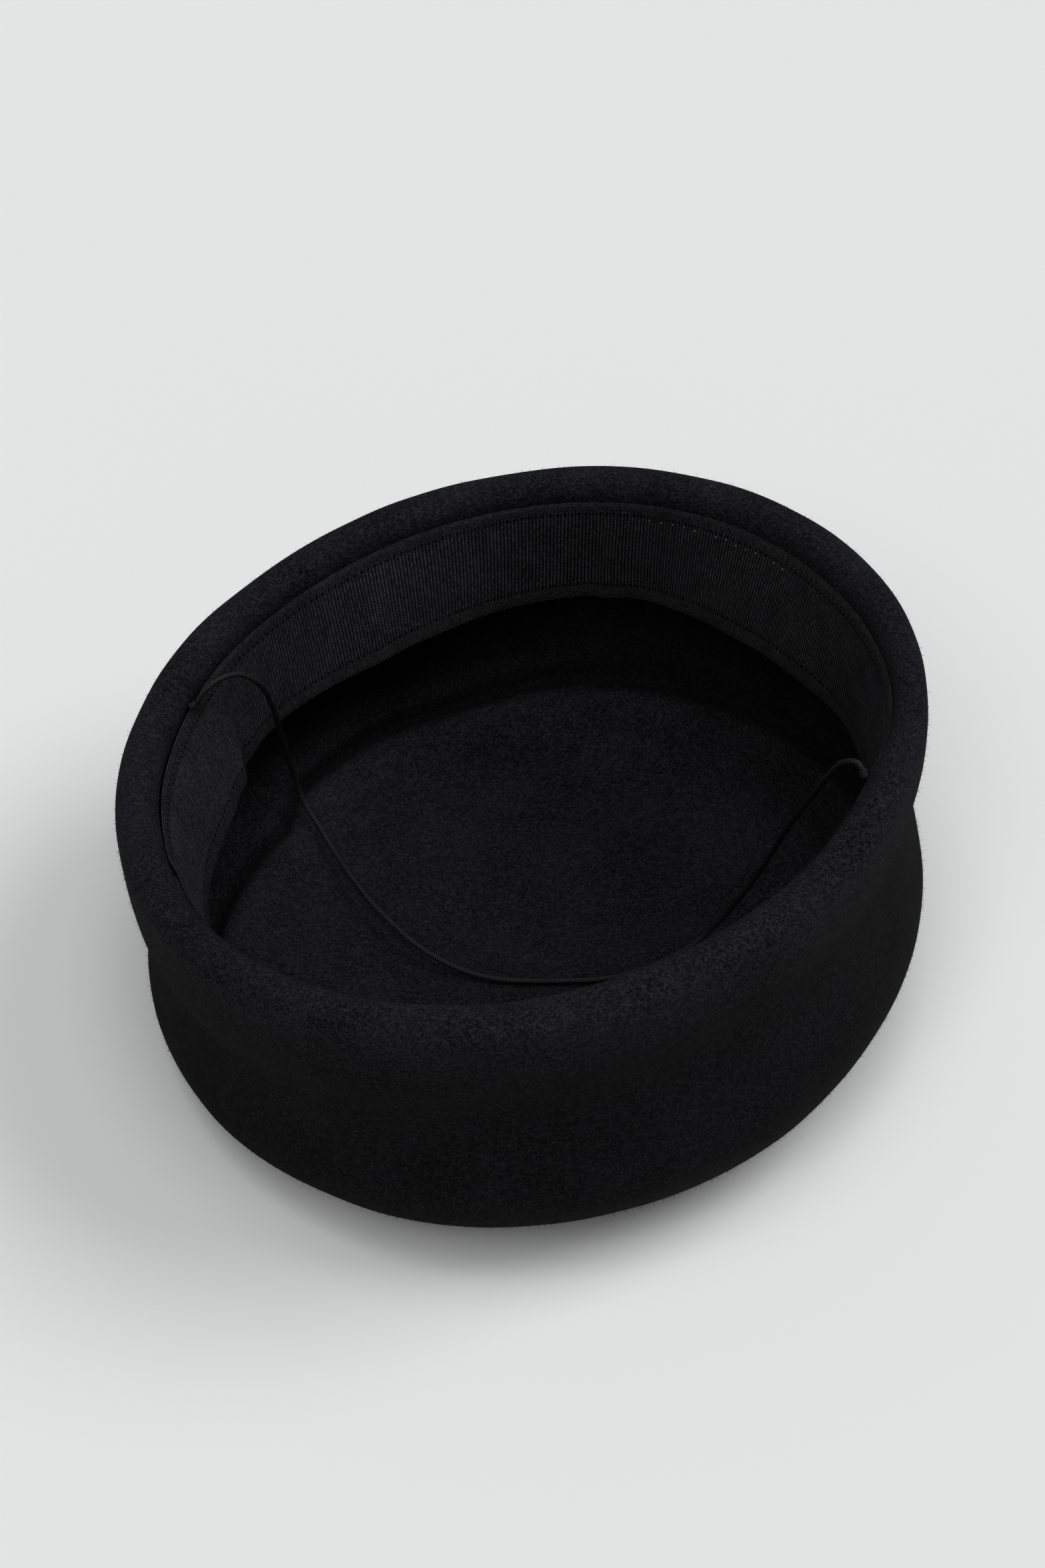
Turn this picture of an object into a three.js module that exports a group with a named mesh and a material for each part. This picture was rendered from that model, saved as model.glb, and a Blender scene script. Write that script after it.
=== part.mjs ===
import * as THREE from 'three';

// Sizes of the hat in millimetres, crown down on the table and open upwards
const RIM_HALF_WIDTH = 92;
const RIM_HALF_DEPTH = 99;
const RIM_HEIGHT = 82;
const FELT = 2.6;
const HEM_WIDTH = 10.4;
const HEM_PINCH = 2.7;
const HEM_DEPTH = 15;
const HEM_GAP = 0.5;
const BAND_WIDTH = 27;
const BAND_THICKNESS = 0.9;
const BAND_DROP = 0.8;
const BAND_LAP = 14;
const BAND_JOIN_ANGLE = 200;
const PINCH_ANGLE = -4;
const PINCH_SPREAD = 17;
const CORD_DIAMETER = 1.4;
const CLEARANCE = 0.3;

// How finely the round forms are faceted
const AROUND = 60;
const STEPS_PER_SECTION = 3;
const OVER_HEM = 8;
const DOWN_FLAP = 3;
const BAND_STEPS = 96;
const BAND_ROWS = 4;
const CORD_SIDES = 8;
const CORD_STEPS = 78;

// Sections of the crown, from the flat that it rests on up to the widest part of the rim
// reach: share of the rim's half width or half depth
// level: share of the rim's height
// slant: how much higher the right side is, as a share of the section's own height
// shift: how far it lies to the right of the hat's middle, as a share of the rim's half width
const SECTIONS = [
  { name: 'flat', reach: 0.36, level: 0, slant: 0.74, shift: 0.075 },
  { name: 'tip', reach: 0.62, level: 0.01, slant: 0.74, shift: 0.075 },
  { name: 'tip edge', reach: 0.79, level: 0.057, slant: 0.74, shift: 0.065 },
  { name: 'corner', reach: 0.93, level: 0.18, slant: 0.73, shift: 0.043 },
  { name: 'bulge', reach: 0.987, level: 0.3, slant: 0.6, shift: 0.027 },
  { name: 'middle', reach: 0.963, level: 0.5, slant: 0.43, shift: 0.01 },
  { name: 'waist', reach: 0.953, level: 0.66, slant: 0.36, shift: 0 },
  { name: 'flare', reach: 0.99, level: 0.8, slant: 0.3, shift: -0.007 },
];
const RIM = { name: 'rim', reach: 1, level: 1, slant: 0.195, backSlant: -0.03, shift: -0.015 };

// How far the sweatband's lower edge leans in, as a share of the band's width
// angle: degrees from the right side, counted towards the back
const BAND_LEAN = [
  { angle: 0, lean: 0.13 },
  { angle: 15, lean: 0.14 },
  { angle: 30, lean: 0.26 },
  { angle: 45, lean: 0.27 },
  { angle: 60, lean: 0.18 },
  { angle: 68, lean: 0.1 },
  { angle: 80, lean: 0.12 },
  { angle: 92, lean: 0.2 },
  { angle: 105, lean: 0.33 },
  { angle: 120, lean: 0.35 },
  { angle: 136, lean: 0.23 },
  { angle: 146, lean: 0.23 },
  { angle: 156, lean: 0.34 },
  { angle: 166, lean: 0.42 },
  { angle: 180, lean: 0.36 },
  { angle: 195, lean: 0.28 },
  { angle: 215, lean: 0.2 },
  { angle: 240, lean: 0.14 },
  { angle: 270, lean: 0.1 },
  { angle: 300, lean: 0.06 },
  { angle: 330, lean: 0.04 },
];

// Route of the elastic from the left end to the right end, as it lies in the crown
const CORD_ROUTE = [
  [-78, 28.3, 61.3],
  [-76.8, 28.4, 62.5],
  [-74.9, 29.6, 65],
  [-71.5, 32, 66.6],
  [-66.9, 35, 65.8],
  [-62.3, 37, 61],
  [-59.9, 39.6, 52],
  [-58.8, 43.5, 41],
  [-58.1, 47, 33],
  [-57.4, 49.6, 25.5],
  [-56.5, 51.5, 18.5],
  [-55.1, 51.5, 12.5],
  [-53.3, 50, 9],
  [-50.6, 46, 7.2],
  [-46.3, 37.2, 6.2],
  [-41.4, 27.2, 6.5],
  [-36.1, 18, 6.7],
  [-30.5, 10.5, 6.5],
  [-24.8, 4.3, 6],
  [-18.5, -0.2, 5.2],
  [-11.9, -3.3, 4.5],
  [-5.5, -4.8, 4.1],
  [2.4, -5.3, 4],
  [10.4, -5.2, 4],
  [16.9, -4.8, 4],
  [22.9, -3.8, 4.2],
  [30.4, -1.4, 5],
  [37.4, 1.2, 7],
  [42.9, 2.5, 11],
  [47.2, 1.5, 18],
  [51.7, -1.5, 29],
  [56.2, -6.7, 44],
  [59.9, -14.5, 62],
  [63.5, -20.8, 76],
  [67.3, -25.4, 88],
  [69.9, -28, 94],
  [72.6, -30.1, 95.9],
  [73.8, -31, 94.8],
  [74.4, -31.4, 93.1],
];

const felt = new THREE.MeshStandardMaterial({ name: 'felt', color: 0x17171a, roughness: 0.95, metalness: 0 });
const ribbon = new THREE.MeshStandardMaterial({ name: 'ribbon', color: 0x151316, roughness: 0.75, metalness: 0 });
const elastic = new THREE.MeshStandardMaterial({ name: 'elastic', color: 0x0d0d0f, roughness: 0.65, metalness: 0 });

// Distance from the middle of a section to the outside of the rim above it
function rimReach(angle) {
  return Math.hypot(RIM_HALF_WIDTH * Math.cos(angle), RIM_HALF_DEPTH * Math.sin(angle));
}

// A place in the upright plane through an angle: x is the distance out, y the height, z the section's shift
function place(point, angle) {
  const reach = rimReach(angle);
  const x = (RIM_HALF_WIDTH * Math.cos(angle)) / reach;
  const y = (RIM_HALF_DEPTH * Math.sin(angle)) / reach;
  return new THREE.Vector3(point.x * x + point.z, point.x * y, point.y);
}

function raised(section, angle) {
  const side = section.slant * section.reach * Math.cos(angle);
  const back = (section.backSlant ?? 0) * Math.sin(angle);
  return RIM_HEIGHT * section.level * (1 + side + back);
}

// The hem is rolled tighter near the right side
function hemWidth(angle) {
  const away = (THREE.MathUtils.radToDeg(angle) - PINCH_ANGLE + 540) % 360 - 180;
  return HEM_WIDTH - HEM_PINCH * Math.exp(-((away / PINCH_SPREAD) ** 2));
}

// Point on the round hem in the upright plane through an angle, some depth under its skin
function hemPoint(angle, depth, turn) {
  const half = hemWidth(angle) / 2;
  const out = rimReach(angle) - half + (half - depth) * Math.cos(turn);
  const up = raised(RIM, angle) - half + (half - depth) * Math.sin(turn);
  return new THREE.Vector3(out, up, RIM.shift * RIM_HALF_WIDTH);
}

// Outside of the crown in the upright plane through an angle, from the flat up to the hem
function wallCurve(angle) {
  const reach = rimReach(angle);
  const points = SECTIONS.map((section) => {
    return new THREE.Vector3(section.reach * reach, raised(section, angle), section.shift * RIM_HALF_WIDTH);
  });
  points.push(hemPoint(angle, 0, 0));
  return new THREE.CatmullRomCurve3(points, false, 'centripetal');
}

// One upright cut through the felt: up the outside, over the hem, down its flap and back down the inside
function feltCut(angle) {
  const wall = wallCurve(angle);
  const steps = SECTIONS.length * STEPS_PER_SECTION;
  const outside = [];
  const inside = [];
  for (let i = 0; i <= steps; i++) {
    const point = wall.getPoint(i / steps);
    const along = wall.getTangent(i / steps);
    const run = Math.hypot(along.x, along.y);
    const offset = new THREE.Vector3((-along.y / run) * FELT, (along.x / run) * FELT, 0);
    if (i === 0) offset.set(0, FELT, 0);
    point.y = Math.max(point.y, 0);
    outside.push(point);
    inside.unshift(point.clone().add(offset));
  }

  const overOutside = [];
  const overInside = [];
  for (let i = 1; i <= OVER_HEM; i++) {
    overOutside.push(hemPoint(angle, 0, (Math.PI * i) / OVER_HEM));
    overInside.unshift(hemPoint(angle, FELT, (Math.PI * i) / OVER_HEM));
  }

  const flapTop = overOutside[OVER_HEM - 1];
  const wallInside = insideAtHeight(inside, flapTop.y - HEM_DEPTH);
  const flapEnd = new THREE.Vector3(wallInside - HEM_GAP - FELT, flapTop.y - HEM_DEPTH, flapTop.z);
  const flapFace = [];
  const flapBack = [];
  for (let i = 1; i <= DOWN_FLAP; i++) {
    const face = flapTop.clone().lerp(flapEnd, i / DOWN_FLAP);
    flapFace.push(face);
    flapBack.unshift(face.clone().setX(face.x + FELT));
  }
  return [...outside, ...overOutside, ...flapFace, ...flapBack, ...overInside, ...inside];
}

// Distance out to the inner face of the wall at a height
function insideAtHeight(inside, height) {
  for (let i = 1; i < inside.length; i++) {
    const above = inside[i - 1];
    const below = inside[i];
    if (below.y <= height) {
      return THREE.MathUtils.mapLinear(height, below.y, above.y, below.x, above.x);
    }
  }
  return inside[inside.length - 1].x;
}

// Skin over rings of points, each ring closed, with given triangles at both ends
function skin(rings, startCap, endCap) {
  const count = rings[0].length;
  const positions = rings.flat().flatMap((point) => point.toArray());
  const faces = [];
  for (let i = 0; i + 1 < rings.length; i++) {
    for (let j = 0; j < count; j++) {
      const next = (j + 1) % count;
      const a = i * count + j;
      const b = i * count + next;
      faces.push(a, b, b + count, a, b + count, a + count);
    }
  }
  const last = (rings.length - 1) * count;
  faces.push(...startCap(0, count, positions), ...endCap(last, count, positions));
  const geometry = new THREE.BufferGeometry();
  geometry.setAttribute('position', new THREE.Float32BufferAttribute(positions, 3));
  geometry.setIndex(faces);
  geometry.computeVertexNormals();
  return geometry;
}

// Cap with a point in the middle of its ring
function fan(faceDown) {
  return (first, count, positions) => {
    const middle = positions.length / 3;
    const ring = positions.slice(3 * first, 3 * (first + count));
    for (let axis = 0; axis < 3; axis++) {
      positions.push(ring.filter((_, i) => i % 3 === axis).reduce((sum, value) => sum + value, 0) / count);
    }
    const faces = [];
    for (let j = 0; j < count; j++) {
      const a = first + j;
      const b = first + ((j + 1) % count);
      faces.push(middle, ...(faceDown ? [b, a] : [a, b]));
    }
    return faces;
  };
}

// Cap across a flat strip, whose ring runs down one face and up the other
function ladder(atStart) {
  return (first, count) => {
    const faces = [];
    for (let j = 0; j < count / 2 - 1; j++) {
      const a = first + j;
      const b = first + j + 1;
      const c = first + count - 2 - j;
      const d = first + count - 1 - j;
      faces.push(...(atStart ? [a, c, b, a, d, c] : [a, b, c, a, c, d]));
    }
    return faces;
  };
}

function feltCrown() {
  const cuts = [];
  for (let i = 0; i < AROUND; i++) {
    const angle = (2 * Math.PI * i) / AROUND;
    cuts.push(feltCut(angle).map((point) => place(point, angle)));
  }
  const rings = cuts[0].map((_, row) => cuts.map((cut) => cut[row]));
  return new THREE.Mesh(skin(rings, fan(true), fan(false)), felt);
}

// Lean of the sweatband at an angle in degrees, smooth through the rows of the table
function bandLean(angle) {
  const rows = BAND_LEAN.length;
  const turned = THREE.MathUtils.euclideanModulo(angle, 360);
  let i = rows - 1;
  while (BAND_LEAN[i].angle > turned) i--;
  const before = BAND_LEAN[i].angle;
  const after = i + 1 < rows ? BAND_LEAN[i + 1].angle : 360 + BAND_LEAN[0].angle;
  const share = (turned - before) / (after - before);
  const [a, b, c, d] = [-1, 0, 1, 2].map((step) => BAND_LEAN[(i + step + rows) % rows].lean);
  const curve = new THREE.SplineCurve([a, b, c, d].map((lean) => new THREE.Vector2(lean, 0)));
  return curve.getPoint((1 + share) / 3).x;
}

// Cut across the sweatband at an angle: down its back, and up the face that shows
function bandCut(degrees, inset) {
  const angle = THREE.MathUtils.degToRad(degrees);
  const lean = bandLean(degrees);
  const down = Math.sqrt(1 - lean * lean);
  const hem = hemPoint(angle, 0, Math.PI);
  const top = new THREE.Vector3(hem.x - CLEARANCE - BAND_THICKNESS - inset, hem.y - BAND_DROP, hem.z);
  const back = [];
  const front = [];
  for (let i = 0; i <= BAND_ROWS; i++) {
    const run = (BAND_WIDTH * i) / BAND_ROWS;
    const point = new THREE.Vector3(top.x - lean * run, top.y - down * run, top.z);
    front.unshift(point);
    back.push(new THREE.Vector3(point.x + BAND_THICKNESS, point.y, point.z));
  }
  return [...back, ...front].map((point) => place(point, angle));
}

function sweatband() {
  const lap = THREE.MathUtils.radToDeg(BAND_LAP / RIM_HALF_WIDTH);
  const rings = [];
  for (let i = 0; i <= BAND_STEPS; i++) {
    const run = ((360 + lap) * i) / BAND_STEPS;
    const inset = (BAND_THICKNESS + CLEARANCE) * THREE.MathUtils.smoothstep(run, 360 - 2 * lap, 360 - lap / 2);
    rings.push(bandCut(BAND_JOIN_ANGLE + run, inset));
  }
  return new THREE.Mesh(skin(rings, ladder(true), ladder(false)), ribbon);
}

function elasticCord() {
  const points = CORD_ROUTE.map((point) => new THREE.Vector3(...point));
  const route = new THREE.CatmullRomCurve3(points, false, 'centripetal');
  const section = new THREE.Shape();
  section.absarc(0, 0, CORD_DIAMETER / 2, 0, 2 * Math.PI);
  const geometry = new THREE.ExtrudeGeometry(section, {
    steps: CORD_STEPS,
    curveSegments: CORD_SIDES / 2,
    extrudePath: route,
  });
  return new THREE.Mesh(geometry, elastic);
}

function named(name, mesh) {
  mesh.name = name;
  return mesh;
}

const hat = new THREE.Group();
hat.name = 'pillbox_hat';
hat.add(named('felt_crown', feltCrown()));
hat.add(named('sweatband', sweatband()));
hat.add(named('elastic_cord', elasticCord()));

export default hat;
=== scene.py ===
import logging
import math
from collections.abc import Callable
from dataclasses import dataclass, field
from enum import Enum

import bmesh
import bpy
import numpy as np
from mathutils import Matrix, Vector, noise


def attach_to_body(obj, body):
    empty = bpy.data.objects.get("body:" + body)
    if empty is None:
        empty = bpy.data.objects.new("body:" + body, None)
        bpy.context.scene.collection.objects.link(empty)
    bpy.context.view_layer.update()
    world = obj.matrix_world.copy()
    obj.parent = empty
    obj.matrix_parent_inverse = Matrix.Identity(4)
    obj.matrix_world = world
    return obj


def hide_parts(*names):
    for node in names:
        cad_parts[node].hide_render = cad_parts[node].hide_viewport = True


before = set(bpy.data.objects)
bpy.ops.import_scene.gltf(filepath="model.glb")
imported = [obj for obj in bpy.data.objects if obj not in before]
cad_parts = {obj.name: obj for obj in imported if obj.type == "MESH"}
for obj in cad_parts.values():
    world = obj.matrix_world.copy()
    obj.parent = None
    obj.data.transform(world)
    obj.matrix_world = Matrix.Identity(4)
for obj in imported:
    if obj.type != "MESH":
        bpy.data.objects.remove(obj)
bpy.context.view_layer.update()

BODY = "root"
WEAVE_MAP = "Weave"
PAINTED_LIGHT = "PaintedLight"
SAME_POINT = 1e-6
THREAD_SIDES = 6

log = logging.getLogger("pillbox_hat")

Colour = tuple[float, float, float]
Point = tuple[float, float, float]
Socket = bpy.types.NodeSocket
Array = np.ndarray


class Slot(Enum):
    """Material slots of the record."""

    FELT = "felt"
    RIBBON = "ribbon"
    ELASTIC = "elastic"


@dataclass(frozen=True)
class Blots:
    """A noise, with the two of its values that become 0 and 1."""

    size: float
    detail: float
    seed: float
    low: float = 0.0
    high: float = 1.0


class Shader:
    """A Principled material in the making, with short ways to add its nodes."""

    def __init__(self, name: str, roughness: float, specular: float) -> None:
        """Start a material.

        Args:
            name: Name of the material.
            roughness: Roughness all over.
            specular: Specular level all over.
        """
        self.material = bpy.data.materials.new(name)
        self.material.use_nodes = True
        self.tree = self.material.node_tree
        self.surface = self.tree.nodes["Principled BSDF"]
        self.constant("Roughness", roughness)
        self.constant("Specular IOR Level", specular)

    def constant(self, socket: str, value: float | Colour) -> None:
        """Set one of the shader's own sockets to a value or a colour.

        Args:
            socket: Name of the socket.
            value: Number or linear colour.
        """
        self.surface.inputs[socket].default_value = (*value, 1.0) if isinstance(value, tuple) else value

    def node(self, kind: str, **settings: object) -> bpy.types.Node:
        """Add a node.

        Args:
            kind: The node's type.
            settings: Its properties.

        Returns:
            The node.
        """
        node = self.tree.nodes.new(kind)
        for name, value in settings.items():
            setattr(node, name, value)
        return node

    def plug(self, socket: Socket, value: Socket | float | Point) -> None:
        """Link a socket to another one, or give it a plain value.

        Args:
            socket: The socket that takes the value.
            value: An output socket, a number or three numbers.
        """
        if isinstance(value, bpy.types.NodeSocket):
            self.tree.links.new(value, socket)
        else:
            socket.default_value = value

    def object_place(self) -> Socket:
        """Return the place on the piece in metres."""
        return self.node("ShaderNodeTexCoord").outputs["Object"]

    def weave_place(self) -> tuple[Socket, Socket]:
        """Return the metres along and across the piece's own map."""
        parts = self.node("ShaderNodeSeparateXYZ")
        self.plug(parts.inputs[0], self.node("ShaderNodeUVMap", uv_map=WEAVE_MAP).outputs["UV"])
        return parts.outputs["X"], parts.outputs["Y"]

    def math(self, operation: str, *values: Socket | float, clamp: bool = False) -> Socket:
        """Add a Math node.

        Args:
            operation: Its operation.
            values: One to three sockets or numbers.
            clamp: Whether the result stays from 0 to 1.

        Returns:
            Its output.
        """
        node = self.node("ShaderNodeMath", operation=operation, use_clamp=clamp)
        for socket, value in zip(node.inputs, values):
            self.plug(socket, value)
        return node.outputs[0]

    def scale(self, value: Socket, factor: float, plus: Socket | float) -> Socket:
        """Return a value times a factor, plus another value."""
        return self.math("MULTIPLY_ADD", value, factor, plus)

    def cycle(self, value: Socket, period: float) -> Socket:
        """Return how far a value is through its period, from 0 to 1."""
        return self.math("FRACT", self.math("DIVIDE", value, period))

    def hump(self, share: Socket) -> Socket:
        """Return a round hump that is 0 at the shares 0 and 1, and 1 halfway."""
        return self.math("SINE", self.math("MULTIPLY", share, math.pi))

    def valley(self, share: Socket) -> Socket:
        """Return a sharp valley that is 1 at the shares 0 and 1, and 0 halfway."""
        return self.math("ABSOLUTE", self.math("MULTIPLY_ADD", share, 2.0, -1.0))

    def away(self, value: Socket, middle: float) -> Socket:
        """Return how far a value is from a middle."""
        return self.math("ABSOLUTE", self.math("SUBTRACT", value, middle))

    def noise(self, place: Socket, blots: Blots) -> Socket:
        """Add a noise texture.

        Args:
            place: Where it is read.
            blots: Size of its largest blots in metres, octaves of finer ones, and seed.

        Returns:
            Its value from 0 to 1.
        """
        node = self.node("ShaderNodeTexNoise", noise_dimensions="4D")
        self.plug(node.inputs["Vector"], place)
        self.plug(node.inputs["W"], blots.seed)
        self.plug(node.inputs["Scale"], 1.0 / blots.size)
        self.plug(node.inputs["Detail"], blots.detail)
        return node.outputs["Fac"]

    def smooth(self, value: Socket, low: float, high: float) -> Socket:
        """Ease a value from 0 at low to 1 at high.

        Args:
            value: The value.
            low: Where the result is 0.
            high: Where the result is 1.

        Returns:
            The eased value.
        """
        node = self.node("ShaderNodeMapRange", interpolation_type="SMOOTHSTEP")
        self.plug(node.inputs["Value"], value)
        self.plug(node.inputs["From Min"], low)
        self.plug(node.inputs["From Max"], high)
        return node.outputs["Result"]

    def blots(self, place: Socket, blots: Blots) -> Socket:
        """Return soft blots from 0 to 1."""
        return self.smooth(self.noise(place, blots), blots.low, blots.high)

    def hairs(self, place: Socket, blots: Blots) -> Socket:
        """Return thin curling lines, 1 on them and 0 off them, which follow the middle value of a noise."""
        return self.smooth(self.away(self.noise(place, blots), 0.5), blots.low, blots.high)

    def colour(self, share: Socket, dark: Colour, light: Colour) -> None:
        """Colour the surface between a dark and a light tone.

        Args:
            share: 0 for the dark tone and 1 for the light one.
            dark: Dark linear colour.
            light: Light linear colour.
        """
        node = self.node("ShaderNodeMix", data_type="RGBA")
        self.plug(node.inputs["Factor"], share)
        self.plug(node.inputs["A"], (*dark, 1.0))
        self.plug(node.inputs["B"], (*light, 1.0))
        self.plug(self.surface.inputs["Base Color"], node.outputs["Result"])

    def bump(self, *heights: tuple[Socket, float]) -> None:
        """Give the surface relief.

        Args:
            heights: Pairs of a height from 0 to 1 and its depth in metres.
        """
        normal = None
        for height, depth in heights:
            node = self.node("ShaderNodeBump")
            self.plug(node.inputs["Height"], height)
            self.plug(node.inputs["Distance"], depth)
            if normal is not None:
                self.plug(node.inputs["Normal"], normal)
            normal = node.outputs["Normal"]
        self.plug(self.surface.inputs["Normal"], normal)


@dataclass(frozen=True)
class FeltFinish:
    """Black wool felt with a short curling nap, and painted light and shade: paler on the hem, the tip's
    upward faces and the crease's shoulder, darker in the crease.
    """

    dark: Colour = (0.0004, 0.00036, 0.0006)
    light: Colour = (0.055, 0.0522, 0.06)
    roughness: float = 0.95
    specular: float = 0.03
    sheen: float = 0.012
    sheen_roughness: float = 0.4
    long_hair: Blots = Blots(size=0.0009, detail=1.0, seed=1.0, low=0.02, high=0.0)
    fine_hair: Blots = Blots(size=0.00054, detail=1.0, seed=2.0, low=0.026, high=0.0)
    grain: Blots = Blots(size=0.00034, detail=1.0, seed=3.0, low=0.42, high=0.66)
    clump: Blots = Blots(size=0.00072, detail=2.0, seed=4.0, low=0.4, high=0.64)
    mottle: Blots = Blots(size=0.02, detail=3.0, seed=5.0, low=0.3, high=0.72)
    ground_tone: float = 0.02
    mottle_tone: float = 0.1
    clump_tone: float = 0.2
    grain_tone: float = 0.27
    hair_tone: float = 0.22
    plain_gain: float = 0.44
    painted_light_gain: float = 0.5
    clump_depth: float = 0.0002
    grain_depth: float = 0.00012
    hair_depth: float = 0.0001

    def material(self) -> bpy.types.Material:
        """Return the felt's material."""
        shader = Shader("felt", self.roughness, self.specular)
        shader.constant("Sheen Weight", self.sheen)
        shader.constant("Sheen Roughness", self.sheen_roughness)
        place = shader.object_place()
        long_hairs = shader.hairs(place, self.long_hair)
        hairs = shader.math("MAXIMUM", long_hairs, shader.hairs(place, self.fine_hair))
        grain = shader.blots(place, self.grain)
        clumps = shader.blots(place, self.clump)
        nap = shader.scale(shader.blots(place, self.mottle), self.mottle_tone, self.ground_tone)
        for layer, tone in ((clumps, self.clump_tone), (grain, self.grain_tone), (hairs, self.hair_tone)):
            nap = shader.scale(layer, tone, nap)
        # painted light and shade read from the mesh: paler hem and upward tip faces, darker crease
        painted_light_share = shader.node("ShaderNodeAttribute", attribute_name=PAINTED_LIGHT).outputs["Fac"]
        gain = shader.scale(painted_light_share, self.painted_light_gain, self.plain_gain)
        shader.colour(shader.math("MULTIPLY", nap, gain, clamp=True), self.dark, self.light)
        shader.bump((clumps, self.clump_depth), (grain, self.grain_depth), (hairs, self.hair_depth))
        return shader.material


@dataclass(frozen=True)
class NapFinish:
    """Loose wool fibres, some paler than others."""

    dark: Colour = (0.002, 0.0018, 0.0023)
    light: Colour = (0.045, 0.041, 0.05)
    roughness: float = 0.8
    specular: float = 0.1
    patch: Blots = Blots(size=0.0012, detail=1.0, seed=6.0, low=0.4, high=0.75)

    def material(self) -> bpy.types.Material:
        """Return the fibres' material."""
        shader = Shader("felt_nap", self.roughness, self.specular)
        shader.colour(shader.blots(shader.object_place(), self.patch), self.dark, self.light)
        return shader.material


@dataclass(frozen=True)
class KnitFinish:
    """Black knitted ribbon with ribs across it, and a row of pits and a close edge on both sides, with a
    painted highlight on the thread crests and painted shade in the gaps and pits.
    """

    pitch: float = 0.00088
    stitch: float = 0.00055
    width: float = 0.027
    lower_edge: float = 0.0034
    upper_edge: float = 0.0025
    dark: Colour = (0.0003, 0.00025, 0.00036)
    light: Colour = (0.07, 0.064, 0.073)
    roughness: float = 0.7
    specular: float = 0.12
    depth: float = 0.0003
    slant: float = 0.85
    loop_share: float = 0.65
    close_stitch: float = 0.8
    pit: float = 0.0004
    pit_run: tuple[float, float] = (0.1, 0.9)
    fray: Blots = Blots(size=0.0009, detail=1.0, seed=9.0, low=0.3, high=0.72)
    fray_reach: float = 1.1
    fray_gain: tuple[float, float] = (0.8, 0.5)
    wear: Blots = Blots(size=0.006, detail=3.0, seed=8.0)
    wear_gain: tuple[float, float] = (0.9, 0.3)
    painted_crest_light: tuple[float, float] = (0.12, 0.95)

    def ribs(self, shader: Shader, along: Socket, across: Socket) -> Socket:
        """Knit the ribs out of slanted stitches.

        Args:
            shader: The ribbon's shader.
            along: Metres along the ribbon.
            across: Metres up from its lower edge.

        Returns:
            Their height from 0 to 1.
        """
        aside = shader.valley(shader.cycle(along, self.pitch))
        rib = shader.math("SUBTRACT", 1.0, shader.math("POWER", aside, 2.0))
        rows = shader.scale(aside, self.slant, shader.math("DIVIDE", across, self.stitch))
        loop = shader.valley(shader.math("FRACT", rows))
        return shader.math("MULTIPLY", rib, shader.scale(loop, self.loop_share, 1.0 - self.loop_share))

    def close_edge(self, shader: Shader, along: Socket, across: Socket) -> Socket:
        """Knit the close edge out of staggered beads.

        Args:
            shader: The ribbon's shader.
            along: Metres along the ribbon.
            across: Metres up from its lower edge.

        Returns:
            Their height from 0 to 1.
        """
        rows = shader.math("DIVIDE", across, self.stitch * self.close_stitch)
        stagger = shader.math("MULTIPLY", shader.math("FLOOR", rows), 0.5)
        columns = shader.math("ADD", shader.math("DIVIDE", along, self.pitch / 2), stagger)
        beads = (shader.hump(shader.math("FRACT", count)) for count in (columns, rows))
        return shader.math("MULTIPLY", *beads)

    def pits(self, shader: Shader, along: Socket, across: Socket, fray: Socket) -> Socket:
        """Sink a row of pits beside each close edge, one pit to two ribs.

        Args:
            shader: The ribbon's shader.
            along: Metres along the ribbon.
            across: Metres up from its lower edge.
            fray: Blots that make the pits uneven.

        Returns:
            0 in a pit and 1 off it.
        """
        period = 2 * self.pitch
        sideways = shader.math("MULTIPLY", shader.away(shader.cycle(along, period), 0.5), period)
        from_lower = shader.away(across, self.lower_edge + self.pit)
        from_upper = shader.away(across, self.width - self.upper_edge - self.pit)
        upright = shader.math("MINIMUM", from_lower, from_upper)
        squares = (shader.math("POWER", way, 2.0) for way in (sideways, upright))
        distance = shader.math("SQRT", shader.math("ADD", *squares))
        low, high = (share * self.pit for share in self.pit_run)
        return shader.smooth(shader.scale(fray, -self.fray_reach * self.pit, distance), low, high)

    def material(self) -> bpy.types.Material:
        """Return the ribbon's material."""
        shader = Shader("ribbon", self.roughness, self.specular)
        along, across = shader.weave_place()
        place = shader.object_place()
        fray = shader.blots(place, self.fray)
        upper_start = self.width - self.upper_edge
        lower = shader.smooth(across, self.lower_edge, self.lower_edge - self.pit)
        upper = shader.smooth(across, upper_start, upper_start + self.pit)
        weave = shader.node("ShaderNodeMix", data_type="FLOAT")
        shader.plug(weave.inputs["Factor"], shader.math("MAXIMUM", lower, upper))
        shader.plug(weave.inputs["A"], self.ribs(shader, along, across))
        shader.plug(weave.inputs["B"], self.close_edge(shader, along, across))
        height = shader.math("MULTIPLY", weave.outputs["Result"], self.pits(shader, along, across, fray))
        fray_gain = shader.scale(fray, *self.fray_gain)
        # painted highlight on the crests of the relief and painted shade in its gaps and pits, with random
        # fray and wear in the tone
        painted_crest_light = shader.math("MULTIPLY", shader.smooth(height, *self.painted_crest_light), fray_gain)
        wear_gain = shader.scale(shader.noise(place, self.wear), *self.wear_gain)
        shader.colour(shader.math("MULTIPLY", painted_crest_light, wear_gain, clamp=True), self.dark, self.light)
        shader.bump((height, self.depth))
        return shader.material


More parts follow.
